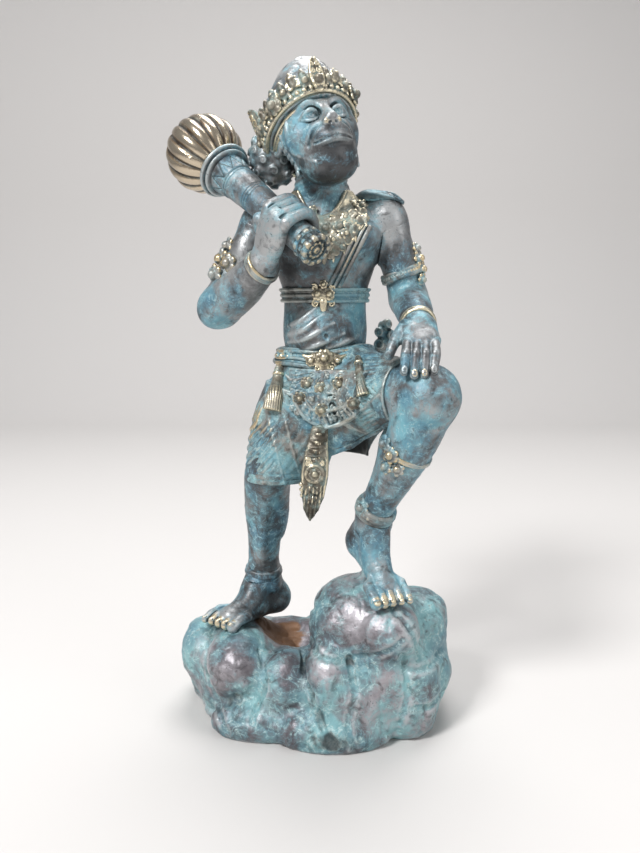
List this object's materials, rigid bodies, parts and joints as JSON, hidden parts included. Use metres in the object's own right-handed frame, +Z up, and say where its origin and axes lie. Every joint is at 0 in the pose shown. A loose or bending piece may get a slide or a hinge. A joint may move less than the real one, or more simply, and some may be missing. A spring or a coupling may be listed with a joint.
{
  "type": "monkey warrior statue",
  "caption": "Cast figure of a standing monkey warrior in a crown, a fluted club over its shoulder and one foot raised on a hollow rock base.",
  "frame": {"origin": "on the floor under the middle of the outline", "axes": "+Z up, the figure faces -Y and its left side is +X"},
  "size_m": [0.1742, 0.1348, 0.4025],
  "materials": {
    "patinated_bronze": "dark bronze under a turquoise patina",
    "rock_patina": "matt turquoise patina over dark bronze",
    "rubbed_brass": "patinated brass with rubbed high points",
    "polished_brass": "polished brass with dark grooves"
  },
  "bodies": {
    "root": {"rock_base": "rock_patina", "right_leg": "patinated_bronze", "left_leg": "patinated_bronze", "right_foot": "patinated_bronze", "left_foot": "patinated_bronze", "right_anklet": "rubbed_brass", "left_anklet": "rubbed_brass", "left_knee_band": "rubbed_brass", "skirt": "patinated_bronze", "hip_belt": "patinated_bronze", "front_apron": "patinated_bronze", "front_sash_tail": "rubbed_brass", "right_hip_tassel": "polished_brass", "left_sash_end": "rubbed_brass", "tail": "patinated_bronze", "hip_belt_buckle": "rubbed_brass", "apron_rosette_1": "rubbed_brass", "apron_rosette_2": "rubbed_brass", "apron_rosette_3": "rubbed_brass", "apron_rosette_4": "rubbed_brass", "apron_rosette_5": "rubbed_brass", "apron_rosette_6": "rubbed_brass", "torso": "patinated_bronze", "chest_band": "patinated_bronze", "chest_buckle": "rubbed_brass", "collar": "rubbed_brass", "collar_pendant": "rubbed_brass", "sash_cord": "rubbed_brass", "left_shoulder_leaf": "patinated_bronze", "right_upper_arm": "patinated_bronze", "right_forearm": "patinated_bronze", "right_armlet": "rubbed_brass", "right_bracelet": "rubbed_brass", "right_hand": "patinated_bronze", "left_upper_arm": "patinated_bronze", "left_forearm": "patinated_bronze", "left_armlet": "rubbed_brass", "left_bracelet": "rubbed_brass", "left_hand": "patinated_bronze", "club_shaft": "patinated_bronze", "club_collar": "polished_brass", "club_head": "polished_brass", "club_pommel": "rubbed_brass", "head": "patinated_bronze", "crown_cap": "patinated_bronze", "crown_band": "rubbed_brass", "crown_front_leaf": "rubbed_brass", "crown_rosette_right": "rubbed_brass", "crown_rosette_left": "rubbed_brass", "right_ear_wing": "rubbed_brass", "left_ear_wing": "rubbed_brass", "hair_knot": "patinated_bronze"}
  },
  "joints": []
}
